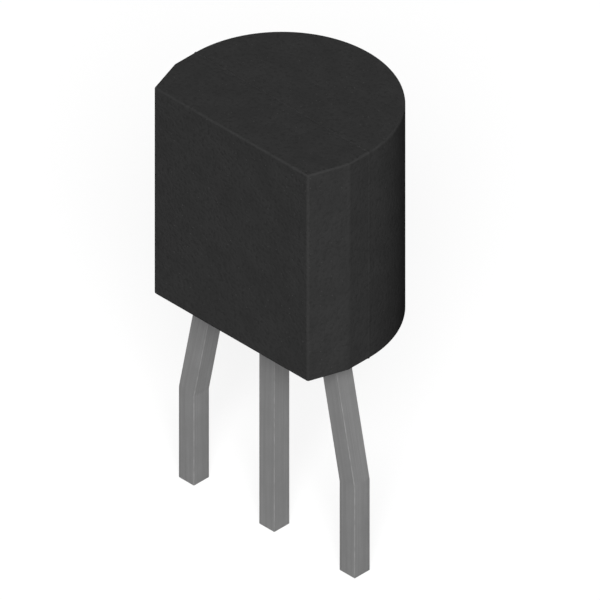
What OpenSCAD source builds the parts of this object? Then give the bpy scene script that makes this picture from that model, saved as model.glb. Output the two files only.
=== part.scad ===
// Three-lead temperature sensor in a D-shaped moulded package, with its leads
// spread and cut short for a circuit board. Millimetres.
//
// Frame: the origin is on the centre lead's axis, at the top face of the board.
// +Z runs up from the board through the body. +X runs along the row of leads.
// The flat face of the body looks along -Y.

/* [Moulded body] */
// Width of the body, which is also the diameter of its round back
body_w = 5.21; // [4.4:0.01:6.3]
// Height of the body
body_h = 5.34; // [4.4:0.01:6.5]
// Distance from the flat face to the middle of the leads
flat_to_leads = 1.30; // [1.1:0.01:1.7]
// Depth of the bevel on each side of the flat face, measured square to that face
bevel_depth = 0.93; // [0.6:0.01:1.2]
// Width of that bevel, measured along the flat face
bevel_inset = 0.31; // [0.2:0.01:0.6]
// Radius of the body's moulded edges
edge_r = 0.05; // [0.03:0.01:0.15]
// How far the mould's witness line stands proud at the parting line
flash_out = 0.010; // [0.005:0.005:0.05]
// Thickness of the witness line
flash_t = 0.04; // [0.02:0.01:0.1]
// Diameter of the ejector pin's mark on the round back
ejector_d = 1.5; // [1:0.1:2]
// Depth of the ejector mark at its edge, where it is shallowest
ejector_depth = 0.05; // [0.02:0.01:0.2]

/* [Leads] */
// Width of each lead
lead_w = 0.46; // [0.36:0.01:0.56]
// Thickness of the strip that all the leads are stamped from
strip_t = 0.46; // [0.35:0.01:0.56]
// Spacing of the leads where they enter the board
board_pitch = 2.40; // [2:0.01:2.9]
// Spacing of the leads where they leave the body
body_pitch = 1.77; // [1.4:0.01:2]
// Gap between the board and the body
standoff = 3.12; // [2:0.01:4.5]
// Length of lead below the board's top face
tail = 2.33; // [1.5:0.01:5]
// Inside radius of the leads' bends
bend_r = 0.20; // [0.1:0.05:0.5]
// How far the stub of the cut tie bar stands out from each edge of a lead
stub_out = 0.06; // [0.02:0.01:0.1]
// Height of those stubs
stub_h = 0.28; // [0.1:0.01:0.4]
// Gap between the body and those stubs
stub_gap = 0.12; // [0.05:0.01:0.3]

/* [Lead frame inside the body] */
// Height above the body's underside at which the outer leads turn upright
knee_h = 0.70; // [0.5:0.05:0.9]
// Length of the centre lead's neck, from the body's underside to the paddle
neck_h = 1.30; // [1:0.05:1.6]
// Gap between the paddle and the bond posts beside it
frame_gap = 0.38; // [0.25:0.01:0.5]
// How much wider each bond post is than its lead
post_step = 0.24; // [0.24:0.01:0.4]
// Height of each bond post
post_h = 1.10; // [0.8:0.05:1.4]
// Width of paddle on each side of the die
side_margin = 0.47; // [0.3:0.01:0.6]
// Height of paddle above and below the die
end_margin = 0.28; // [0.2:0.01:0.4]
// Size of the chamfers at the paddle's corners
paddle_chamfer = 0.28; // [0.1:0.01:0.4]
// Diameter of the hole that locks the paddle into the moulding
lock_hole_d = 0.60; // [0.4:0.05:0.8]
// Metal left round the lock hole
lock_rim = 0.25; // [0.2:0.01:0.4]
// Radius of the lock notches
notch_r = 0.13; // [0.1:0.01:0.16]
// Radius of the stamped corners
stamp_r = 0.10; // [0.05:0.01:0.12]

/* [Sensor die] */
// Width of the die
die_w = 1.10; // [0.8:0.01:1.35]
// Height of the die
die_h = 1.30; // [0.9:0.01:1.6]
// Thickness of the die
die_t = 0.28; // [0.15:0.01:0.35]
// Thickness of the glue under the die
attach_t = 0.03; // [0.015:0.005:0.06]
// How far the glue spreads beyond the die's edges
attach_spread = 0.06; // [0.02:0.01:0.12]
// Distance from the die's edges to the middle of a bond
pad_inset = 0.14; // [0.08:0.01:0.2]

/* [Bond wires] */
// Distance from the die's lower edge to the end of the centre wire
down_bond_gap = 0.40; // [0.3:0.01:0.5]
// Diameter of the wire
wire_d = 0.030; // [0.02:0.001:0.05]
// Diameter of the ball bond on the die
ball_d = 0.080; // [0.06:0.001:0.12]
// Height of the ball bond
ball_h = 0.024; // [0.01:0.001:0.04]
// Height of the loop above the die
loop_h = 0.20; // [0.15:0.01:0.3]
// Length of the flattened stitch on the lead
stitch_l = 0.07; // [0.04:0.01:0.12]
// Thickness of the stitch at its end
stitch_t = 0.008; // [0.005:0.001:0.015]

/* [Hidden] */

EPOXY = [0.18, 0.18, 0.18];
TIN = [0.56, 0.56, 0.56];
SILICON = [0.30, 0.33, 0.40];
SILVER_GLUE = [0.66, 0.66, 0.64];
GOLD = [0.90, 0.72, 0.30];

// The mould parts along the back face of the strip.
parting_y = strip_t / 2;
flat_y = -flat_to_leads;
back_y = parting_y + body_w / 2;
body_z = standoff;
// A cylinder's surface is this far from a flat tangent to it, at the mark's edge.
ejector_sag = body_w / 2 - sqrt(pow(body_w / 2, 2) - pow(ejector_d / 2, 2));

// The strip's front face carries the glue, the die and the bonds.
strip_y = -strip_t / 2;
glue_y = strip_y - attach_t;
die_y = glue_y - die_t;

// The frame is set out from the die: paddle round it, then gap, then posts.
splay = atan((board_pitch - body_pitch) / standoff);
paddle_w = die_w + 2 * side_margin;
paddle_z = body_z + neck_h;
die_z = paddle_z + end_margin + die_h / 2;
lock_z = die_z + die_h / 2 + end_margin + lock_hole_d / 2;
paddle_top = lock_z + lock_hole_d / 2 + lock_rim;
post_x = paddle_w / 2 + frame_gap;
post_z = die_z;
post_edge = post_x + lead_w + post_step;
knee_x = post_x + lead_w / 2;
knee_z = body_z + knee_h;

// Where each wire starts on the die and ends on the frame, as [x, z].
PADS = [[-die_w / 2 + pad_inset, die_z + die_h / 2 - pad_inset],
        [0, die_z - die_h / 2 + pad_inset],
        [die_w / 2 - pad_inset, die_z + die_h / 2 - pad_inset]];
SITES = [[-knee_x, post_z],
         [0, die_z - die_h / 2 - down_bond_gap],
         [knee_x, post_z]];

// The ball bond's outline, as shares of its height and of its diameter.
BALL_OUTLINE = [[0, 0.88], [0.25, 1], [0.65, 1], [0.92, 0.8]];
// The stitch's outline: share of its length, share of the wire's roundness that
// is left there, and width in wire diameters.
STITCH_OUTLINE = [[0.45, 0.55, 1.5], [1, 0, 1.7]];
// The loop's curve is pulled up to this many times its height, and its second
// pull is this share of the way along.
LOOP_PULL = 1.4;
LOOP_REACH = 0.8;

ROUND_SIDES = 96;
HOLE_SIDES = 48;
CORNER_STEPS = 6;
WIRE_SIDES = 8;
WIRE_STEPS = 14;
EPS = 0.01;

// --- Outlines ---------------------------------------------------------------

function unit(v) = v / norm(v);

// The points that round corner b of the path a-b-c to radius r.
function corner(a, b, c, r) =
    let (u = unit(a - b), v = unit(c - b), half = acos(u * v) / 2)
    r <= 0 || half > 89.9 ? [b] :
    let (
        centre = b + unit(u + v) * r / sin(half),
        start = b + u * r / tan(half) - centre,
        finish = b + v * r / tan(half) - centre,
        turn = (180 - 2 * half) * sign(cross(start, finish)),
        first = atan2(start.y, start.x)
    )
    [for (i = [0 : CORNER_STEPS])
        centre + r * [cos(first + turn * i / CORNER_STEPS), sin(first + turn * i / CORNER_STEPS)]];

// A closed outline of [x, y, radius] points, with its corners rounded.
function rounded(points) =
    let (n = len(points), xy = [for (p = points) [p.x, p.y]])
    [for (i = [0 : n - 1])
        each corner(xy[(i + n - 1) % n], xy[i], xy[(i + 1) % n], points[i].z)];

// A closed outline mirrored across the Y axis.
function mirrored(points) = [for (i = [len(points) - 1 : -1 : 0]) [-points[i].x, points[i].y, points[i].z]];

// A profile drawn in X and Z, as thick as the stamped strip.
module stamped() {
    rotate([90, 0, 0]) linear_extrude(strip_t, center = true) children();
}

// --- Moulded body -----------------------------------------------------------

// Plan of the front half, from the flat face back to the parting line.
module front_plan() {
    side_y = flat_y + bevel_depth;
    half = [[body_w / 2, parting_y, 0],
            [body_w / 2, side_y, edge_r],
            [body_w / 2 - bevel_inset, flat_y, edge_r]];
    polygon(rounded(concat(half, mirrored(half))));
}

// Upright section of the body between two places, with rounded outside corners.
// The inside corners are rounded too where that side is also an outside one.
function upright(inside, outside, inside_r = 0) =
    rounded([[inside, 0, inside_r], [outside, 0, edge_r],
             [outside, body_h, edge_r], [inside, body_h, inside_r]]);

// The flat-sided front half: its plan, front view and side view, intersected.
module front_half() {
    span = 2 * body_w;
    intersection() {
        linear_extrude(body_h) front_plan();
        rotate([90, 0, 0]) linear_extrude(span, center = true)
            polygon(upright(-body_w / 2, body_w / 2, edge_r));
        rotate([90, 0, -90]) linear_extrude(span, center = true)
            polygon(upright(-parting_y, -flat_y));
    }
}

// The half-round back.
module back_half() {
    translate([0, parting_y]) rotate_extrude(angle = 180, $fn = ROUND_SIDES)
        polygon(upright(0, body_w / 2));
}

// The witness line where the two halves of the mould meet.
module witness_line() {
    reach = body_w / 2 + flash_out;
    low = -flash_out;
    high = body_h + flash_out;
    r = edge_r + flash_out;
    translate([0, parting_y]) rotate([90, 0, 0]) linear_extrude(flash_t, center = true)
        polygon(rounded([[-reach, low, r], [reach, low, r], [reach, high, r], [-reach, high, r]]));
}

// Flat-bottomed mark that an ejector pin leaves in the round back.
module ejector_mark() {
    depth = ejector_sag + ejector_depth;
    translate([0, back_y - depth, body_z + body_h / 2])
        rotate([-90, 0, 0]) cylinder(d = ejector_d, h = depth + EPS, $fn = HOLE_SIDES);
}

module moulded_body() {
    color(EPOXY) difference() {
        translate([0, 0, body_z]) union() {
            front_half();
            back_half();
            witness_line();
        }
        ejector_mark();
        for (i = [-1 : 1]) {
            lead_blank(i);
            bond_wire(i);
        }
        glue();
        die();
    }
}

// --- Leads ------------------------------------------------------------------

// Outline of the right-hand lead: tail, spread stretch, knee, and the bond post
// that the moulding holds. A bend has its inside radius on one edge and the
// outside radius, a lead's width larger, on the other.
function outer_lead_outline() =
    let (
        half = lead_w / 2,
        mitre = half * tan(splay / 2),
        inner_splay = atan((body_pitch - knee_x) / knee_h),
        knee_mitre = half * tan(inner_splay / 2),
        exit_half = half / cos(splay),
        outside_r = bend_r + lead_w,
        post_low = post_z - post_h / 2,
        post_high = post_z + post_h / 2
    )
    [[board_pitch - half, -tail, 0],
     [board_pitch + half, -tail, 0],
     [board_pitch + half, mitre, outside_r],
     [body_pitch + exit_half, body_z, 0],
     [knee_x + half, knee_z + knee_mitre, bend_r],
     [knee_x + half, post_low, stamp_r],
     [post_edge, post_low, stamp_r],
     [post_edge, post_high, stamp_r],
     [post_x, post_high, stamp_r],
     [post_x, knee_z - knee_mitre, outside_r],
     [body_pitch - exit_half, body_z, 0],
     [board_pitch - half, -mitre, bend_r]];

// Right-hand half of the centre lead: neck, shoulder and paddle.
function paddle_half() =
    let (half = lead_w / 2, edge = paddle_w / 2)
    [[half, -tail, 0],
     [half, paddle_z, stamp_r],
     [edge - paddle_chamfer, paddle_z, stamp_r],
     [edge, paddle_z + paddle_chamfer, stamp_r],
     [edge, paddle_top - paddle_chamfer, stamp_r],
     [edge - paddle_chamfer, paddle_top, stamp_r]];

// What is left of the tie bar on a lead, after it is cut away below the body.
module tie_bar_stub(x) {
    translate([x, body_z - stub_gap - stub_h / 2])
        square([lead_w + 2 * stub_out, stub_h], center = true);
}

module outer_lead() {
    stamped() difference() {
        union() {
            polygon(rounded(outer_lead_outline()));
            tie_bar_stub(body_pitch + (stub_gap + stub_h / 2) * tan(splay));
        }
        translate([post_edge, post_z]) circle(r = notch_r, $fn = HOLE_SIDES);
    }
}

module inner_lead() {
    stamped() difference() {
        union() {
            polygon(rounded(concat(paddle_half(), mirrored(paddle_half()))));
            tie_bar_stub(0);
        }
        translate([0, lock_z]) circle(d = lock_hole_d, $fn = HOLE_SIDES);
        for (x = [-paddle_w / 2, paddle_w / 2])
            translate([x, lock_z]) circle(r = notch_r, $fn = HOLE_SIDES);
    }
}

// The lead at place i in the row: -1 is the left, 0 the centre and 1 the right.
module lead_blank(i) {
    if (i == 0) inner_lead();
    else mirror([i < 0 ? 1 : 0, 0, 0]) outer_lead();
}

module lead(i) {
    color(TIN) lead_blank(i);
}

// --- Die and glue -----------------------------------------------------------

module die() {
    translate([-die_w / 2, die_y, die_z - die_h / 2]) cube([die_w, die_t, die_h]);
}

module sensor_die() {
    color(SILICON) die();
}

// Silver-filled glue, squeezed out round the die so that its edge slopes.
module glue() {
    foot = [die_w + 2 * attach_spread, die_h + 2 * attach_spread];
    translate([0, strip_y, die_z]) rotate([90, 0, 0])
        linear_extrude(attach_t, scale = [die_w / foot.x, die_h / foot.y])
            square(foot, center = true);
}

module die_attach() {
    color(SILVER_GLUE) glue();
}

// --- Bond wires -------------------------------------------------------------

// A station on a wire is [along, height, slope, thickness, width]: its place
// from the ball towards the stitch, above the die, and its cross-section.
function ball_stations() =
    [for (s = BALL_OUTLINE) [0, s[0] * ball_h, 90, s[1] * ball_d, s[1] * ball_d]];

// The loop is a cubic curve that leaves the ball upright.
function loop_stations(span) =
    let (
        p0 = [0, ball_h],
        p1 = [0, loop_h * LOOP_PULL],
        p2 = [(span - stitch_l) * LOOP_REACH, loop_h * LOOP_PULL],
        p3 = [span - stitch_l, wire_d / 2 - die_t - attach_t]
    )
    [for (i = [0 : WIRE_STEPS]) let (
        t = i / WIRE_STEPS,
        at = pow(1 - t, 3) * p0 + 3 * pow(1 - t, 2) * t * p1 + 3 * (1 - t) * t * t * p2 + t * t * t * p3,
        way = pow(1 - t, 2) * (p1 - p0) + 2 * (1 - t) * t * (p2 - p1) + t * t * (p3 - p2)
    ) [at.x, at.y, atan2(way.y, way.x), wire_d, wire_d]];

// The stitch is pressed flat against the lead.
function stitch_stations(span) =
    let (seat = -die_t - attach_t)
    [for (s = STITCH_OUTLINE)
        let (thick = stitch_t + s[1] * (wire_d - stitch_t))
        [span - stitch_l * (1 - s[0]), seat + thick / 2, 0, thick, wire_d * s[2]]];

// Corner j of a station's ring, which has a flat side towards the lead.
function ring_point(s, j) =
    let (
        a = 360 * (j + 0.5) / WIRE_SIDES,
        flat_fit = cos(180 / WIRE_SIDES),
        across = sin(a) * s[3] / 2 / flat_fit,
        side = cos(a) * s[4] / 2 / flat_fit
    )
    [s[0] - across * sin(s[2]), side, s[1] + across * cos(s[2])];

// Wire from a pad on the die to a site on the frame.
module wire(pad, site) {
    span = norm(site - pad);
    stations = concat(ball_stations(), loop_stations(span), stitch_stations(span));
    n = WIRE_SIDES;
    last = len(stations) - 1;
    points = [for (s = stations) for (j = [0 : n - 1]) ring_point(s, j)];
    sides = [for (i = [0 : last - 1]) for (j = [0 : n - 1])
        let (a = i * n + j, b = i * n + (j + 1) % n)
        each [[a, b + n, b], [a, a + n, b + n]]];
    ends = [[for (j = [0 : n - 1]) j], [for (j = [n - 1 : -1 : 0]) last * n + j]];
    translate([pad.x, die_y, pad.y])
        rotate([90, -atan2(site.y - pad.y, site.x - pad.x), 0])
            polyhedron(points = points, faces = concat(sides, ends));
}

module bond_wire(i) {
    wire(PADS[i + 1], SITES[i + 1]);
}

module gold_wire(i) {
    color(GOLD) bond_wire(i);
}

// --- Nodes ------------------------------------------------------------------

moulded_body();
lead(-1);  // left_lead
lead(0);  // centre_lead
lead(1);  // right_lead
sensor_die();
die_attach();
gold_wire(-1);  // left_bond_wire
gold_wire(0);  // centre_bond_wire
gold_wire(1);  // right_bond_wire
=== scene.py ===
"""Shapes, finishes, floor, light and camera for a three-lead temperature sensor in a moulded package."""

import math

import bmesh
import bpy
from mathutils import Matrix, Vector


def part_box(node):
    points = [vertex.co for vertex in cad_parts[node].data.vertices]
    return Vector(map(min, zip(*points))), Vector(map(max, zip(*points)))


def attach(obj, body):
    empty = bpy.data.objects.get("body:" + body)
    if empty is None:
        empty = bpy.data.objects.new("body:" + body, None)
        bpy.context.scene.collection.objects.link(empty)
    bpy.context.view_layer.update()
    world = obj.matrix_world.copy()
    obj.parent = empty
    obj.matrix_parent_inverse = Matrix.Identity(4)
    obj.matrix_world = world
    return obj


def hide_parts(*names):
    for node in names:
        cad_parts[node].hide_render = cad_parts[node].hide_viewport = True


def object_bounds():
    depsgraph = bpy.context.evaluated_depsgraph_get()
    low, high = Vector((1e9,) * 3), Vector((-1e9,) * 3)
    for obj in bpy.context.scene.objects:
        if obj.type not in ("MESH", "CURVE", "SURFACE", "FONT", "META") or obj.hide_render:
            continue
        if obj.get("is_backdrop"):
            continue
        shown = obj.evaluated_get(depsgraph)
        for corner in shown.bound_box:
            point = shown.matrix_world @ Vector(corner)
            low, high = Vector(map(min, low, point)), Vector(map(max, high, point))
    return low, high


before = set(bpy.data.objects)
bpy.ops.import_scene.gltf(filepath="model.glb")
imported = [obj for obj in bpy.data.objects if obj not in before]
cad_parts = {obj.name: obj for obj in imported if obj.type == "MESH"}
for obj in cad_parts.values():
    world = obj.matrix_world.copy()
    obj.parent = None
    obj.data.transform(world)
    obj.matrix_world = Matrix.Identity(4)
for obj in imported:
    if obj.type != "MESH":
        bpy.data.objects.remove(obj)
cad_low, cad_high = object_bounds()


# --- Outer leads --------------------------------------------------------------------
# All three leads and the frame inside the body are one stamping of copper alloy, as thick
# as a lead is wide, with silver plated where bonds go. After moulding, the bare leads are
# plated with matt tin, parted from their tie bar, cut to length and bent apart.

MM = 0.001
LEAD_W = 0.46 * MM
BEND_R = 0.20 * MM
KNEE_H = 0.70 * MM
POST_STEP = 0.24 * MM
POST_H = 1.10 * MM
NOTCH_R = 0.13 * MM
STAMPED_CORNER = 0.10 * MM
ARRIS = 0.018 * MM
STUB_OUT = 0.06 * MM
STUB_H = 0.28 * MM
STUB_GAP = 0.12 * MM
WITNESS_OUT = 0.010 * MM
BEND_STEPS = 6
CORNER_STEPS = 5
ARRIS_STEPS = 3
HOLE_SIDES = 96
CREASE = math.radians(30)
WELD = 1e-8

# How squarely a face has to look one way to count, where 1 is exactly that way.
SAME_WAY = 0.99999
SQUARE_ON = 0.99
SIDEWAYS = 0.9

TIN_DULL = (0.176, 0.176, 0.176, 1)
TIN_BRIGHT = (0.203, 0.203, 0.203, 1)
# The rubbed tin colour lightens the rounded arrises: part worn tin, part painted highlight.
TIN_RUBBED_HIGHLIGHT = (0.29, 0.29, 0.29, 1)
COPPER = (0.62, 0.30, 0.18, 1)
COPPER_CUT = (0.36, 0.19, 0.12, 1)
SILVER = (0.78, 0.77, 0.74, 1)
TIN_ROUGHNESS = (0.38, 0.55)
CUT_ROUGHNESS = (0.30, 0.55)
FRAME_ROUGHNESS = (0.25, 0.45)
TIN_GRAIN = 0.022 * MM
TIN_MOTTLE = 0.5 * MM
CRYSTAL_DEPTH = 0.0005 * MM
STREAK_W = 0.020 * MM
STREAK_L = 2.5 * MM
STREAK_DEPTH = 0.0004 * MM
FRAME_DEPTH = 0.0006 * MM
SHEAR_DEPTH = 0.001 * MM
BURNISHED_T = 0.27 * MM
TORN_FADE = 0.03 * MM
TORN_DEPTH = 0.004 * MM
RUBBED_AND_HIGHLIGHT_SHARE = 0.7
RUBBED_HIGHLIGHT_PATCH = 0.2 * MM
SILVER_H = 1.00 * MM
SILVER_FADE = 0.02 * MM

# How far noise strays from a half, and spans: the value where an effect starts and where it is full.
GRAIN_REACH = 0.20
MOTTLE_REACH = 0.15
TIN_BRIGHT_SPAN = (0.10, 0.45)
FACING_SPAN = (0.7, 0.9)
SPECK_EDGE_SPAN = (0.18, 0.10)
SPECK_CELL_SPAN = (0.80, 0.90)


def add_node(tree, kind, inputs=None, **settings):
    """Adds a shader node. An input is a plain value, or another node's output to link to it."""
    node = tree.nodes.new("ShaderNode" + kind)
    for setting, value in settings.items():
        setattr(node, setting, value)
    for socket, value in (inputs or {}).items():
        if isinstance(value, bpy.types.NodeSocket):
            tree.links.new(value, node.inputs[socket])
        else:
            node.inputs[socket].default_value = value
    return node


def blend_colours(tree, share, first, second):
    """A colour that goes from the first to the second as the share goes from 0 to 1."""
    mix = add_node(tree, "Mix", {0: share, 6: first, 7: second}, data_type="RGBA")
    return mix.outputs[2]


def blend_values(tree, share, first, second):
    """A number that goes from the first to the second as the share goes from 0 to 1."""
    return add_node(tree, "Mix", {0: share, 2: first, 3: second}).outputs[0]


def scaled(tree, value, low, high, to_low=0.0, to_high=1.0):
    """A value taken from one range to another, and kept within it."""
    inputs = {"Value": value, "From Min": low, "From Max": high, "To Min": to_low, "To Max": to_high}
    return add_node(tree, "MapRange", inputs).outputs["Result"]


def spread(tree, noise, low=0.0, high=1.0, reach=GRAIN_REACH):
    """Noise, which seldom strays further than its reach from a half, taken to a range of its own."""
    return scaled(tree, noise, 0.5 - reach, 0.5 + reach, low, high)


def both(tree, first, second):
    """The product of two masks."""
    return add_node(tree, "Math", {0: first, 1: second}, operation="MULTIPLY").outputs[0]


def greater(tree, first, second):
    """The greater of two masks."""
    return add_node(tree, "Math", {0: first, 1: second}, operation="MAXIMUM").outputs[0]


def streaks(tree, place, sizes, detail):
    """Soft noise whose marks have their own size along each axis."""
    shrunk = add_node(tree, "Mapping", {"Vector": place, "Scale": [1 / size for size in sizes]})
    marks = {"Vector": shrunk.outputs["Vector"], "Scale": 1, "Detail": detail}
    return add_node(tree, "TexNoise", marks).outputs["Fac"]


def relief(tree, height, depth, under=None):
    """Bumps as deep as given. Where others lie under them, they are laid over those."""
    inputs = {"Height": height, "Strength": 1, "Distance": depth}
    if under is not None:
        inputs["Normal"] = under
    return add_node(tree, "Bump", inputs).outputs["Normal"]


def new_group(name, inputs, outputs):
    """A node group with number inputs, given with their usual values, and number outputs."""
    group = bpy.data.node_groups.new(name, "ShaderNodeTree")
    for socket, value in inputs.items():
        number = group.interface.new_socket(socket, in_out="INPUT", socket_type="NodeSocketFloat")
        number.default_value = value
    for socket in outputs:
        group.interface.new_socket(socket, in_out="OUTPUT", socket_type="NodeSocketFloat")
    return group, group.nodes.new("NodeGroupInput").outputs, group.nodes.new("NodeGroupOutput").inputs


def add_group(tree, group, inputs):
    """Places a node group in a material, with its own values."""
    node = add_node(tree, "Group", node_tree=group)
    for socket, value in inputs.items():
        node.inputs[socket].default_value = value
    return node.outputs


def new_material(name, inputs):
    """A material, its node tree and its shader, with the shader's plain values set."""
    material = bpy.data.materials.new(name)
    material.use_nodes = True
    shader = material.node_tree.nodes["Principled BSDF"]
    for socket, value in inputs.items():
        shader.inputs[socket].default_value = value
    return material, material.node_tree, shader


def drive(tree, shader, socket, value):
    """Lets a value that changes over the surface drive one of the shader's sockets."""
    tree.links.new(value, shader.inputs[socket])


# Fine grain: a rough skin at one size, a slow change of shade at another, and a speck in the middle
# of the few cells that drew a high number.
fine_grain, given, made = new_group(
    "fine_grain", {"Frequency": 1 / TIN_GRAIN, "Mottle frequency": 1 / TIN_MOTTLE},
    ("Height", "Mottle", "Speck"))
place = add_node(fine_grain, "TexCoord").outputs["Object"]
skin = add_node(fine_grain, "TexNoise", {
    "Vector": place, "Scale": given["Frequency"], "Detail": 3, "Roughness": 0.6})
mottle = add_node(fine_grain, "TexNoise", {
    "Vector": place, "Scale": given["Mottle frequency"], "Detail": 4})
dots = add_node(fine_grain, "TexVoronoi", {"Vector": place, "Scale": given["Frequency"]})
near_dot = scaled(fine_grain, dots.outputs["Distance"], *SPECK_EDGE_SPAN)
number = add_node(fine_grain, "SeparateColor", {"Color": dots.outputs["Color"]}).outputs["Red"]
speck = both(fine_grain, near_dot, scaled(fine_grain, number, *SPECK_CELL_SPAN))
fine_grain.links.new(skin.outputs["Fac"], made["Height"])
fine_grain.links.new(mottle.outputs["Fac"], made["Mottle"])
fine_grain.links.new(speck, made["Speck"])

# Edge wear and painted highlight: how far a rounded edge is lightened, part rubbed wear and part painted
# highlight, broken up into patches.
edge_wear_and_highlight, given, made = new_group(
    "edge_wear_and_highlight", {"Amount": RUBBED_AND_HIGHLIGHT_SHARE, "Patch frequency": 1 / RUBBED_HIGHLIGHT_PATCH}, ("Wear and highlight",))
edge = add_node(edge_wear_and_highlight, "Attribute", attribute_name="edge").outputs["Fac"]
place = add_node(edge_wear_and_highlight, "TexCoord").outputs["Object"]
patches = add_node(edge_wear_and_highlight, "TexNoise", {
    "Vector": place, "Scale": given["Patch frequency"], "Detail": 4})
broken = spread(edge_wear_and_highlight, patches.outputs["Fac"], reach=MOTTLE_REACH)
edge_wear_and_highlight.links.new(both(edge_wear_and_highlight, both(edge_wear_and_highlight, edge, broken), given["Amount"]), made["Wear and highlight"])

# Facing: which way the surface looks. Front is out of the flat face, Side is along the row of leads.
facing, given, made = new_group("facing", {}, ("Front", "Side"))
looks = add_node(facing, "TexCoord").outputs["Normal"]
looks = add_node(facing, "SeparateXYZ", {"Vector": looks}).outputs
forward = add_node(facing, "Math", {0: looks["Y"], 1: -1}, operation="MULTIPLY").outputs[0]
across = add_node(facing, "Math", {0: looks["X"]}, operation="ABSOLUTE").outputs[0]
facing.links.new(scaled(facing, forward, *FACING_SPAN), made["Front"])
facing.links.new(scaled(facing, across, *FACING_SPAN), made["Side"])


def tinned_strip():
    """Matt tin on stamped strip: streaks along the lead, and a torn band on the stamped edges."""
    material, tree, shader = new_material("tin_matt", {"Metallic": 0.15, "Specular IOR Level": 0.1})
    grain = add_group(tree, fine_grain, {"Frequency": 1 / TIN_GRAIN, "Mottle frequency": 1 / TIN_MOTTLE})
    worn_and_lit = add_group(tree, edge_wear_and_highlight, {"Amount": RUBBED_AND_HIGHLIGHT_SHARE, "Patch frequency": 1 / RUBBED_HIGHLIGHT_PATCH})
    strip = add_node(tree, "Attribute", attribute_name="strip").outputs["Vector"]
    rolled = spread(tree, streaks(tree, strip, (STREAK_W, STREAK_W, STREAK_L), detail=2))
    depth = add_node(tree, "SeparateXYZ", {"Vector": strip}).outputs["Y"]
    torn_from = strip_t / -2 + BURNISHED_T
    torn = scaled(tree, depth, torn_from, torn_from + TORN_FADE)
    torn = both(tree, torn, add_group(tree, facing, {})["Side"])
    shade = scaled(tree, both(tree, rolled, grain["Mottle"]), *TIN_BRIGHT_SPAN)
    shade = blend_colours(tree, shade, TIN_DULL, TIN_BRIGHT)
    # The rounded arrises are lightened: partly rubbed tin, partly a painted highlight.
    drive(tree, shader, "Base Color", blend_colours(tree, worn_and_lit["Wear and highlight"], shade, TIN_RUBBED_HIGHLIGHT))
    drive(tree, shader, "Roughness", spread(tree, grain["Height"], *TIN_ROUGHNESS))
    skin = relief(tree, rolled, STREAK_DEPTH)
    skin = relief(tree, grain["Height"], CRYSTAL_DEPTH, skin)
    skin = relief(tree, both(tree, grain["Height"], torn), TORN_DEPTH, skin)
    drive(tree, shader, "Normal", skin)
    return material


def cut_copper():
    """Bare copper alloy, dragged in lines where the shears went through."""
    material, tree, shader = new_material("copper_cut", {"Metallic": 0.9, "Base Color": COPPER_CUT})
    place = add_node(tree, "TexCoord").outputs["Object"]
    dragged = streaks(tree, place, (STREAK_W, STREAK_L, 1), detail=3)
    drive(tree, shader, "Roughness", spread(tree, dragged, *CUT_ROUGHNESS))
    drive(tree, shader, "Normal", relief(tree, dragged, SHEAR_DEPTH))
    return material


def spot_plated_frame():
    """Rolled copper alloy, with silver on the front of what takes the die and the wires."""
    material, tree, shader = new_material("copper_silver_spot", {"Metallic": 1})
    grain = add_group(tree, fine_grain, {"Frequency": 1 / TIN_GRAIN, "Mottle frequency": 1 / TIN_MOTTLE})
    place = add_node(tree, "TexCoord").outputs["Object"]
    rolled = streaks(tree, place, (STREAK_W, STREAK_W, STREAK_L), detail=2)
    height = add_node(tree, "SeparateXYZ", {"Vector": place}).outputs["Z"]
    silver_z = body_bottom + SILVER_H
    silver = scaled(tree, height, silver_z - SILVER_FADE, silver_z + SILVER_FADE)
    silver = both(tree, silver, add_group(tree, facing, {})["Front"])
    drive(tree, shader, "Base Color", blend_colours(tree, silver, COPPER, SILVER))
    skin = blend_values(tree, silver, rolled, grain["Height"])
    drive(tree, shader, "Roughness", spread(tree, skin, *FRAME_ROUGHNESS))
    drive(tree, shader, "Normal", relief(tree, skin, FRAME_DEPTH))
    return material


body_low, body_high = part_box("moulded_body")
body_bottom = body_low.z + WITNESS_OUT
lead_low, lead_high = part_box("right_lead")
strip_t = lead_high.y - lead_low.y
tip_z = lead_low.z
board_x = lead_high.x - LEAD_W / 2
post_x = lead_low.x
knee_x = post_x + LEAD_W / 2
knee_z = body_bottom + KNEE_H
post_top = lead_high.z
splay = math.atan2(board_x - knee_x, knee_z)
bend_reach = (BEND_R + LEAD_W / 2) * math.tan(splay / 2)
tin = tinned_strip()
copper = cut_copper()
frame_copper = spot_plated_frame()


def start_piece(name):
    """Names the primitive that was just added, puts its place in its mesh and opens it for editing."""
    piece = bpy.context.object
    piece.name = name
    piece.data.name = name
    bpy.ops.object.transform_apply(location=True, rotation=True, scale=True)
    bpy.ops.object.mode_set(mode="EDIT")
    bpy.ops.mesh.select_all(action="DESELECT")
    return piece


def pick(kind, test):
    """Selects only those faces or edges of the piece being edited that pass the test."""
    bpy.ops.mesh.select_mode(type=kind)
    bpy.ops.mesh.select_all(action="DESELECT")
    mesh = bpy.context.object.data
    shape = bmesh.from_edit_mesh(mesh)
    for element in (shape.faces if kind == "FACE" else shape.edges):
        element.select_set(test(element))
    bmesh.update_edit_mesh(mesh)


def middle(element):
    """The middle of a face or an edge."""
    return sum((vert.co for vert in element.verts), Vector()) / len(element.verts)


def extrude(x=0.0, y=0.0, z=0.0):
    """Pulls the selected faces out by a distance along each axis."""
    bpy.ops.mesh.extrude_region_move(TRANSFORM_OT_translate={"value": (x, y, z)})


def swell(distance):
    """Pulls the selected faces out along their own normals."""
    bpy.ops.mesh.extrude_region_shrink_fatten(
        TRANSFORM_OT_shrink_fatten={"value": distance, "use_even_offset": True})


def split(place, normal):
    """Cuts new edges round the whole piece along a plane."""
    bpy.ops.mesh.select_all(action="SELECT")
    bpy.ops.mesh.bisect(plane_co=place, plane_no=normal, threshold=WELD)


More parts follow.
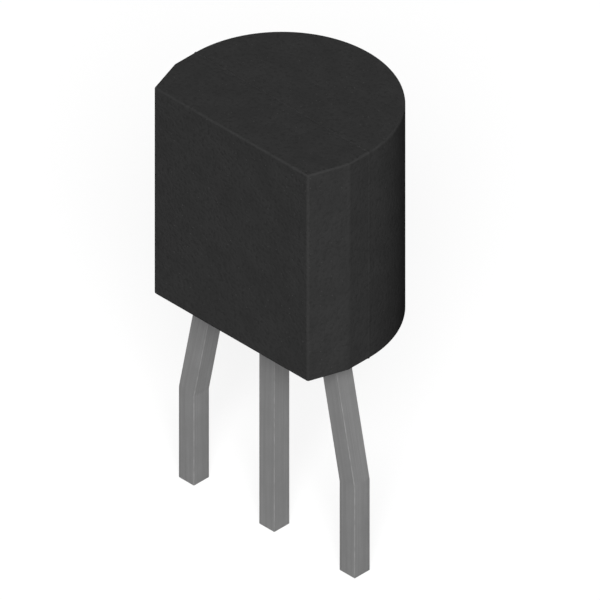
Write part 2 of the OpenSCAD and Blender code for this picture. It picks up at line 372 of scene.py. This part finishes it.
def round_edges(radius, steps, angle):
    """Rounds every edge sharper than an angle, and marks the new faces as places that wear and take a
    painted highlight.
    """
    mesh = bpy.context.object.data
    flat = [face.normal.copy() for face in bmesh.from_edit_mesh(mesh).faces]
    pick("EDGE", lambda edge: edge.calc_face_angle(0) > angle)
    bpy.ops.mesh.bevel(offset=radius, segments=steps, profile=0.5, affect="EDGES")
    shape = bmesh.from_edit_mesh(mesh)
    shape.normal_update()
    rounded = shape.faces.layers.int.new("rounded")
    for face in shape.faces:
        face[rounded] = all(face.normal.dot(old) < SAME_WAY for old in flat)
    bmesh.update_edit_mesh(mesh)


def bore(piece, place, radius, depth=2 * strip_t):
    """Drills a round hole along Y, from its middle outwards both ways."""
    bpy.ops.object.mode_set(mode="OBJECT")
    bpy.ops.mesh.primitive_cylinder_add(
        vertices=HOLE_SIDES, radius=radius, depth=depth, location=place, rotation=(math.radians(90), 0, 0))
    drill = bpy.context.object
    cut = piece.modifiers.new("bore", "BOOLEAN")
    cut.operation = "DIFFERENCE"
    cut.solver = "EXACT"
    cut.object = drill
    bpy.context.view_layer.objects.active = piece
    bpy.ops.object.modifier_apply(modifier=cut.name)
    bpy.data.objects.remove(drill)
    bpy.ops.object.mode_set(mode="EDIT")


def finish_piece(piece, node):
    """Smooths the shading, marks where edges wear and take a painted highlight, and puts the piece in place
    of its CAD node.
    """
    bpy.ops.object.mode_set(mode="OBJECT")
    bpy.ops.object.select_all(action="DESELECT")
    piece.select_set(True)
    bpy.context.view_layer.objects.active = piece
    bpy.ops.object.shade_smooth_by_angle(angle=CREASE)
    shape = bmesh.new()
    shape.from_mesh(piece.data)
    rounded = shape.faces.layers.int["rounded"]
    edge = shape.loops.layers.float.new("edge")
    for face in shape.faces:
        for corner in face.loops:
            corner[edge] = float(all(near[rounded] for near in corner.vert.link_faces))
    shape.to_mesh(piece.data)
    shape.free()
    even = piece.modifiers.new("even shading", "WEIGHTED_NORMAL")
    even.keep_sharp = True
    bpy.ops.object.modifier_apply(modifier=even.name)
    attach(piece, "root")
    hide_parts(node)


def start_lead(name, x, top):
    """The straight lower end of a lead, with its top face picked."""
    bpy.ops.object.select_all(action="DESELECT")
    bpy.ops.mesh.primitive_cube_add(
        size=1, location=(x, 0, (tip_z + top) / 2), scale=(LEAD_W, strip_t, top - tip_z))
    piece = start_piece(name)
    pick("FACE", lambda face: face.normal.z > SQUARE_ON)
    return piece


def bend(angle, centre):
    """Bends the lead on from the picked face, to the right or, where the angle is negative, to the left."""
    bpy.ops.mesh.spin(steps=BEND_STEPS, angle=-angle, center=centre, axis=(0, 1, 0))


def pick_side(low, high, sides=(-1, 1)):
    """Selects the stamped edges of a stretch of lead: -1 is the left one and 1 the right."""
    def on_side(face):
        return low < middle(face).z < high and any(face.normal.x * side > SIDEWAYS for side in sides)
    pick("FACE", on_side)


def stamp_corners(low, radius=STAMPED_CORNER, steps=CORNER_STEPS, convex=True):
    """Rounds or chamfers the outer or the inner corners of the outline above a height."""
    def is_corner(edge):
        along_y = abs((edge.verts[0].co - edge.verts[1].co).y) > strip_t / 2
        turns = edge.calc_face_angle(0) > CREASE and edge.is_convex == convex
        return along_y and turns and middle(edge).z > low - WELD
    pick("EDGE", is_corner)
    bpy.ops.mesh.bevel(offset=radius, segments=steps, profile=0.5, affect="EDGES")


def leave_stubs():
    """The tie bar's cut ends stand a little proud of both edges, just below the body."""
    high = body_bottom - STUB_GAP
    for z in (high - STUB_H, high):
        split((0, 0, z), (0, 0, 1))
    pick_side(high - STUB_H, high)
    swell(STUB_OUT)


def finish_lead(piece, node, middle_x):
    """Lays the streaks along the lead, and tins it but for its cut tip and the frame inside the body."""
    bpy.ops.mesh.select_all(action="SELECT")
    bpy.ops.mesh.normals_make_consistent(inside=False)
    split((0, 0, body_bottom), (0, 0, 1))
    finish_piece(piece, node)
    strip = piece.data.attributes.new("strip", "FLOAT_VECTOR", "POINT")
    for vert, place in zip(piece.data.vertices, strip.data):
        place.vector = (vert.co.x - middle_x(vert.co.z), vert.co.y, vert.co.z)
    finishes = (tin, copper, frame_copper)
    for finish in finishes:
        piece.data.materials.append(finish)
    for face in piece.data.polygons:
        finish = tin
        if face.normal.z < -SQUARE_ON and face.center.z < tip_z + WELD:
            finish = copper
        elif face.center.z > body_bottom:
            finish = frame_copper
        face.material_index = finishes.index(finish)


def outer_middle(z):
    """How far out the middle of an outer lead lies at a height."""
    share = min(1, max(0, z / knee_z))
    return board_x + share * (knee_x - board_x)


# The right-hand lead, from its tip up to the bond post.
right = start_lead("tin_right_lead", board_x, -bend_reach)
bend(-splay, (board_x - LEAD_W / 2 - BEND_R, 0, -bend_reach))
slope = math.hypot(board_x - knee_x, knee_z) - 2 * bend_reach
extrude(x=-slope * math.sin(splay), z=slope * math.cos(splay))
bend(splay, (knee_x + LEAD_W / 2 + BEND_R, 0, knee_z + bend_reach))
extrude(z=post_top - POST_H - knee_z - bend_reach)
extrude(z=POST_H)
pick_side(post_top - POST_H, post_top, sides=(1,))
extrude(x=POST_STEP)
stamp_corners(post_top - POST_H)
stamp_corners(post_top - POST_H, convex=False)
leave_stubs()
bore(right, (post_x + LEAD_W + POST_STEP, 0, post_top - POST_H / 2), NOTCH_R)
round_edges(ARRIS, ARRIS_STEPS, CREASE)
bpy.ops.object.mode_set(mode="OBJECT")

# The left-hand lead is the same stamping the other way round.
left = right.copy()
left.data = right.data.copy()
left.name = "tin_left_lead"
left.data.name = "tin_left_lead"
bpy.context.scene.collection.objects.link(left)
bpy.ops.object.select_all(action="DESELECT")
left.select_set(True)
bpy.context.view_layer.objects.active = left
left.scale.x = -1
bpy.ops.object.transform_apply(location=True, rotation=True, scale=True)
bpy.ops.object.mode_set(mode="EDIT")
finish_lead(left, "left_lead", lambda z: -outer_middle(z))

bpy.ops.object.select_all(action="DESELECT")
bpy.context.view_layer.objects.active = right
bpy.ops.object.mode_set(mode="EDIT")
finish_lead(right, "right_lead", outer_middle)


# --- Centre lead --------------------------------------------------------------------
# It runs straight up into the paddle that carries the die, and is part of the same
# stamping. The hole and the notches let the epoxy grip the paddle.

NECK_H = 1.30 * MM
PADDLE_CHAMFER = 0.28 * MM
LOCK_HOLE_R = 0.30 * MM
LOCK_RIM = 0.25 * MM

paddle_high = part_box("centre_lead")[1]
paddle_z = body_bottom + NECK_H
lock_z = paddle_high.z - LOCK_RIM - LOCK_HOLE_R
centre = start_lead("tin_centre_lead", 0, paddle_z)
extrude(z=paddle_high.z - paddle_z)
pick_side(paddle_z, paddle_high.z)
swell(paddle_high.x - LEAD_W / 2)
stamp_corners(paddle_z, PADDLE_CHAMFER, 1)
stamp_corners(paddle_z)
stamp_corners(paddle_z, convex=False)
leave_stubs()
bore(centre, (0, 0, lock_z), LOCK_HOLE_R)
for side in (-1, 1):
    bore(centre, (side * paddle_high.x, 0, lock_z), NOTCH_R)
round_edges(ARRIS, ARRIS_STEPS, CREASE)
finish_lead(centre, "centre_lead", lambda z: 0)


# --- Sensor die ---------------------------------------------------------------------
# The chip that senses the temperature, sawn from a silicon wafer. Its front carries
# aluminium tracks under a glassy skin, which is open over a bare pad for each wire.

PAD_W = 0.10 * MM
PAD_INSET = 0.14 * MM
TRACK_PITCH = 0.012 * MM
TRACK_DEPTH = 0.0008 * MM
TRACKED_SPAN = (0.3, 0.5)
BLOCK_W = 0.11 * MM
SAW_MARK_W = 0.006 * MM
SAW_MARK_L = 1.0 * MM
SAW_REACH = 0.30
SAWN_ROUGHNESS = 0.60
GLASSY_ROUGHNESS = (0.20, 0.28)
SILICON_SAWN = (0.16, 0.17, 0.18, 1)
CIRCUIT_DARK = (0.060, 0.070, 0.110, 1)
CIRCUIT_LIGHT = (0.130, 0.115, 0.150, 1)
TRACK = (0.36, 0.37, 0.40, 1)
ALUMINIUM = (0.74, 0.75, 0.76, 1)


def level_with(tree, coordinate, pad_middle):
    """1 where a point is level with a pad along one axis, and 0 elsewhere."""
    inputs = {0: coordinate, 1: pad_middle, 2: PAD_W / 2}
    return add_node(tree, "Math", inputs, operation="COMPARE").outputs[0]


def refinish(node, material):
    """Gives a piece that keeps its CAD shape a material of its own."""
    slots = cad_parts[node].data.materials
    slots.clear()
    slots.append(material)


die_low, die_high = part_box("sensor_die")
circuit, tree, shader = new_material("silicon_circuit", {"Coat Weight": 0.4, "Coat Roughness": 0.06})
place = add_node(tree, "TexCoord").outputs["Object"]
front = add_group(tree, facing, {})["Front"]

# Blocks of circuit, some with rows of tracks.
upright = add_node(tree, "Mapping", {"Vector": place, "Rotation": (math.radians(-90), 0, 0)})
upright = upright.outputs["Vector"]
blocks = add_node(tree, "TexVoronoi", {"Vector": upright, "Scale": 1 / BLOCK_W, "Randomness": 0.7},
                  voronoi_dimensions="2D", distance="CHEBYCHEV")
blocks = add_node(tree, "SeparateColor", {"Color": blocks.outputs["Color"]}).outputs["Red"]
rows = add_node(tree, "TexBrick", {
    "Vector": upright, "Scale": 1 / TRACK_PITCH, "Mortar Size": 0.12, "Brick Width": 3, "Row Height": 1})
rows = rows.outputs["Fac"]
shade = blend_colours(tree, blocks, CIRCUIT_DARK, CIRCUIT_LIGHT)
shade = blend_colours(tree, both(tree, rows, scaled(tree, blocks, *TRACKED_SPAN)), shade, TRACK)

# Two pads at the top corners and one in the middle below.
at = add_node(tree, "SeparateXYZ", {"Vector": place}).outputs
left_x = level_with(tree, at["X"], die_low.x + PAD_INSET)
middle_x = level_with(tree, at["X"], (die_low.x + die_high.x) / 2)
right_x = level_with(tree, at["X"], die_high.x - PAD_INSET)
top_z = level_with(tree, at["Z"], die_high.z - PAD_INSET)
low_z = level_with(tree, at["Z"], die_low.z + PAD_INSET)
bare = greater(tree, both(tree, greater(tree, left_x, right_x), top_z), both(tree, middle_x, low_z))
shade = blend_colours(tree, bare, shade, ALUMINIUM)

# The back and the sides are bare silicon, with the saw's marks.
sawn = streaks(tree, place, (SAW_MARK_L, SAW_MARK_W, SAW_MARK_L), detail=2)
glassy = spread(tree, sawn, *GLASSY_ROUGHNESS, reach=SAW_REACH)
drive(tree, shader, "Base Color", blend_colours(tree, front, SILICON_SAWN, shade))
drive(tree, shader, "Metallic", both(tree, front, bare))
drive(tree, shader, "Roughness", blend_values(tree, front, SAWN_ROUGHNESS, glassy))
drive(tree, shader, "Normal", relief(tree, blend_values(tree, front, sawn, rows), TRACK_DEPTH))
refinish("sensor_die", circuit)


# --- Die attach ---------------------------------------------------------------------
# Epoxy glue filled with silver flakes, dabbed on the paddle and squeezed out round the
# die as it was pressed home. It is cured in an oven, holds the die and takes its heat.

FLAKE = 0.012 * MM
FLAKE_DEPTH = 0.002 * MM
GLUE_MOTTLE = 0.2 * MM
GLUE_FLAKINESS = (0, 0.4)
GLUE_METALLIC = (0.3, 1)
GLUE_ROUGHNESS = (0.35, 0.65)
GLUE_GREY = (0.36, 0.36, 0.34, 1)
FLAKE_BRIGHT = (0.72, 0.71, 0.68, 1)

silver_glue, tree, shader = new_material("glue_silver_filled", {"Specular IOR Level": 0.4})
grain = add_group(tree, fine_grain, {"Frequency": 1 / FLAKE, "Mottle frequency": 1 / GLUE_MOTTLE})
shade = spread(tree, grain["Mottle"], *GLUE_FLAKINESS, reach=MOTTLE_REACH)
shade = blend_colours(tree, shade, GLUE_GREY, FLAKE_BRIGHT)
drive(tree, shader, "Base Color", blend_colours(tree, grain["Speck"], shade, FLAKE_BRIGHT))
drive(tree, shader, "Metallic", scaled(tree, grain["Speck"], 0, 1, *GLUE_METALLIC))
drive(tree, shader, "Roughness", spread(tree, grain["Height"], *GLUE_ROUGHNESS))
drive(tree, shader, "Normal", relief(tree, grain["Height"], FLAKE_DEPTH))
refinish("die_attach", silver_glue)


# --- Bond wires ---------------------------------------------------------------------
# Drawn gold wire. One end is melted to a ball and pressed on a pad of the die, the other
# is flattened onto the frame in a stitch, both with heat and ultrasound.

DRAWN_LINE_W = 0.003 * MM
DRAWN_LINE_L = 0.090 * MM
DRAWN_DEPTH = 0.0002 * MM
GOLD_ROUGHNESS = (0.14, 0.30)
GOLD_DEEP = (0.78, 0.46, 0.13, 1)
GOLD_BRIGHT = (0.95, 0.66, 0.26, 1)

gold, tree, shader = new_material("gold_drawn", {"Metallic": 1})
place = add_node(tree, "TexCoord").outputs["Object"]
drawn = streaks(tree, place, (DRAWN_LINE_L, DRAWN_LINE_W, DRAWN_LINE_W), detail=2)
drive(tree, shader, "Base Color", blend_colours(tree, spread(tree, drawn), GOLD_DEEP, GOLD_BRIGHT))
drive(tree, shader, "Roughness", spread(tree, drawn, *GOLD_ROUGHNESS))
drive(tree, shader, "Normal", relief(tree, drawn, DRAWN_DEPTH))
for wire in ("left_bond_wire", "centre_bond_wire", "right_bond_wire"):
    refinish(wire, gold)


# --- Moulded body -------------------------------------------------------------------
# The package is one block of black epoxy with a silica filler, transfer-moulded round
# the lead frame. The spark-eroded walls of the mould leave its skin matt. The mould
# parts along the back of the lead frame, and leaves a witness line there.

BODY_SIDES = 192
STRIP_SIDE = 0.60 * MM
BEVEL_INSET = 0.31 * MM
MOULDED_EDGE = 0.05 * MM
MOULDED_STEPS = 4
BODY_CREASE = math.radians(12)
WITNESS_T = 0.04 * MM
WITNESS_R = 0.008 * MM
WITNESS_STEPS = 3
PIN_MARK_R = 0.75 * MM
PIN_MARK_DEPTH = 0.05 * MM

EPOXY_BLACK = (0.0288, 0.0288, 0.0288, 1)
EPOXY_PALE = (0.0322, 0.0322, 0.0322, 1)
# The pit colour is painted shade in the low points of the grain.
EPOXY_PIT_SHADE = (0.0250, 0.0250, 0.0250, 1)
# The rubbed epoxy colour lightens the rounded edges: part scuffed epoxy, part painted highlight.
EPOXY_RUBBED_HIGHLIGHT = (0.037, 0.037, 0.037, 1)
FILLER = (0.055, 0.055, 0.055, 1)
EPOXY_GRAIN = 0.08 * MM
EPOXY_MOTTLE = 0.5 * MM
# Heights of the grain where the painted pit shade starts and where it is full.
PIT_SHADE_SPAN = (0.50, 0.30)
SCUFFED_HIGHLIGHT_SHARE = 0.5
SCUFFED_HIGHLIGHT_PATCH = 0.3 * MM
SPARKED_DEPTH = 0.018 * MM
SPARKED_GLOSS = 0
SPARKED_ROUGHNESS = (0.62, 0.80)
PIN_FACE_DEPTH = 0.001 * MM
PIN_FACE_GLOSS = 0.05
PIN_FACE_ROUGHNESS = (0.45, 0.60)


def moulded_epoxy(name, depth, gloss, roughness):
    """Black epoxy, with the depth, gloss and roughness that the mould gave its skin."""
    material, tree, shader = new_material(name, {"Specular IOR Level": gloss})
    grain = add_group(tree, fine_grain, {"Frequency": 1 / EPOXY_GRAIN, "Mottle frequency": 1 / EPOXY_MOTTLE})
    worn_and_lit = add_group(tree, edge_wear_and_highlight, {"Amount": SCUFFED_HIGHLIGHT_SHARE, "Patch frequency": 1 / SCUFFED_HIGHLIGHT_PATCH})
    shade = spread(tree, grain["Mottle"], reach=MOTTLE_REACH)
    shade = blend_colours(tree, shade, EPOXY_BLACK, EPOXY_PALE)
    # The low points of the grain are darkened: this is painted shade in the pits.
    shade = blend_colours(tree, scaled(tree, grain["Height"], *PIT_SHADE_SPAN), shade, EPOXY_PIT_SHADE)
    shade = blend_colours(tree, grain["Speck"], shade, FILLER)
    # The rounded edges are lightened: partly scuffed epoxy, partly a painted highlight.
    drive(tree, shader, "Base Color", blend_colours(tree, worn_and_lit["Wear and highlight"], shade, EPOXY_RUBBED_HIGHLIGHT))
    drive(tree, shader, "Roughness", spread(tree, grain["Height"], *roughness))
    drive(tree, shader, "Normal", relief(tree, grain["Height"], depth))
    return material


body_r = body_high.x - WITNESS_OUT
body_top = body_high.z - WITNESS_OUT
body_middle = (body_top + body_bottom) / 2
parting_y = body_high.y - body_r
side_y = parting_y - STRIP_SIDE
flat_y = body_low.y

bpy.ops.object.select_all(action="DESELECT")
bpy.ops.mesh.primitive_cylinder_add(
    vertices=BODY_SIDES, radius=body_r, depth=body_top - body_bottom,
    location=(0, parting_y, body_middle), end_fill_type="NGON")
body = start_piece("epoxy_body")
bpy.ops.mesh.select_all(action="SELECT")
bpy.ops.mesh.bisect(
    plane_co=(0, parting_y, 0), plane_no=(0, 1, 0), clear_inner=True, use_fill=True, threshold=WELD)

# The flat-sided front half: straight sides, then the bevels down to the flat face.
pick("FACE", lambda face: face.normal.y < -SQUARE_ON)
extrude(y=side_y - parting_y)
extrude(y=flat_y - side_y)
bpy.ops.transform.resize(value=(1 - BEVEL_INSET / body_r, 1, 1))
round_edges(MOULDED_EDGE, MOULDED_STEPS, BODY_CREASE)

# The witness line is a low band round the whole body, proud of both halves.
for y in (parting_y - WITNESS_T / 2, parting_y + WITNESS_T / 2):
    split((0, y, 0), (0, 1, 0))
pick("FACE", lambda face: abs(middle(face).y - parting_y) < WITNESS_T / 2)
swell(WITNESS_OUT)
bpy.ops.mesh.region_to_loop()
bpy.ops.mesh.bevel(offset=WITNESS_R, segments=WITNESS_STEPS, profile=0.5, affect="EDGES")

# An ejector pin leaves a flat round mark, a little sunk, in the middle of the back.
sag = body_r - math.sqrt(body_r ** 2 - PIN_MARK_R ** 2)
mark_y = body_high.y - sag - PIN_MARK_DEPTH
bore(body, (0, mark_y + body_r, body_middle), PIN_MARK_R, 2 * body_r)

sparked_skin = moulded_epoxy("epoxy_matt", SPARKED_DEPTH, SPARKED_GLOSS, SPARKED_ROUGHNESS)
pin_skin = moulded_epoxy("epoxy_pin_mark", PIN_FACE_DEPTH, PIN_FACE_GLOSS, PIN_FACE_ROUGHNESS)
body.data.materials.append(sparked_skin)
body.data.materials.append(pin_skin)
bpy.ops.object.mode_set(mode="OBJECT")
for face in body.data.polygons:
    under_pin = face.normal.y > SQUARE_ON and abs(face.center.y - mark_y) < WELD
    face.material_index = int(under_pin)
finish_piece(body, "moulded_body")


# --- Floor --------------------------------------------------------------------------
# A pale floor at the tips of the leads. What the camera and shiny surfaces see of it is
# lifted to white, and the object still shades it.

FLOOR_SIZE = 0.6
FLOOR_PALE = (0.20, 0.20, 0.20, 1)
FLOOR_LIFT = 0.82

bpy.ops.object.select_all(action="DESELECT")
bpy.ops.mesh.primitive_plane_add(size=FLOOR_SIZE, location=(0, 0, cad_low.z))
floor = bpy.context.object
floor.name = "floor"
floor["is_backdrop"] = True


def seen_directly(tree):
    """1 where the camera, a reflection or a refraction looks, and 0 for light that only bounces."""
    path = add_node(tree, "LightPath").outputs
    looks = greater(tree, path["Is Camera Ray"], path["Is Glossy Ray"])
    return greater(tree, looks, path["Is Transmission Ray"])


pale, tree, shader = new_material("pale_floor", {
    "Base Color": FLOOR_PALE, "Roughness": 0.9, "Specular IOR Level": 0, "Emission Color": (1, 1, 1, 1)})
drive(tree, shader, "Emission Strength", scaled(tree, seen_directly(tree), 0, 1, 0, FLOOR_LIFT))
floor.data.materials.append(pale)


# --- Light --------------------------------------------------------------------------
# One broad soft lamp from the camera's side, a weaker one from behind, and an even fill.
# The backdrop is white wherever it is looked at.

KEY_FROM = (45, 35)
KEY_STRENGTH = 4.5
BACK_FROM = (225, 3)
BACK_STRENGTH = 3.5
SOFTNESS = 30
FILL = 0.10


def direction(azimuth, elevation):
    """Points from the object to a place round it. Azimuth 0 is in front of the flat face."""
    turn, lift = math.radians(azimuth), math.radians(elevation)
    return Vector((math.sin(turn) * math.cos(lift), -math.cos(turn) * math.cos(lift), math.sin(lift)))


for name, place, strength in (("key", KEY_FROM, KEY_STRENGTH), ("back", BACK_FROM, BACK_STRENGTH)):
    lamp_data = bpy.data.lights.new(name, "SUN")
    lamp_data.energy = strength
    lamp_data.angle = math.radians(SOFTNESS)
    lamp = bpy.data.objects.new(name, lamp_data)
    lamp.rotation_euler = (-direction(*place)).to_track_quat("-Z", "Y").to_euler()
    bpy.context.scene.collection.objects.link(lamp)

world = bpy.data.worlds.new("studio")
world.use_nodes = True
tree = world.node_tree
backdrop = tree.nodes["Background"]
backdrop.inputs["Color"].default_value = (1, 1, 1, 1)
drive(tree, backdrop, "Strength", scaled(tree, seen_directly(tree), 0, 1, FILL, 1))
bpy.context.scene.world = world


# --- Camera -------------------------------------------------------------------------
# It looks down at the corner between the flat and the side, with no perspective, and is
# aimed at the middle of the object.

VIEW_FROM = (45, 35.264)
VIEW_WIDTH = 12.67 * MM
CAMERA_AWAY = 0.05

lens = bpy.data.cameras.new("camera")
lens.type = "ORTHO"
lens.ortho_scale = VIEW_WIDTH
lens.clip_start = 0.001
lens.clip_end = 2
camera = bpy.data.objects.new("camera", lens)
low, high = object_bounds()
camera.location = (low + high) / 2 + direction(*VIEW_FROM) * CAMERA_AWAY
camera.rotation_euler = (-direction(*VIEW_FROM)).to_track_quat("-Z", "Y").to_euler()
bpy.context.scene.collection.objects.link(camera)
bpy.context.scene.camera = camera
bpy.context.scene.view_settings.view_transform = "Standard"
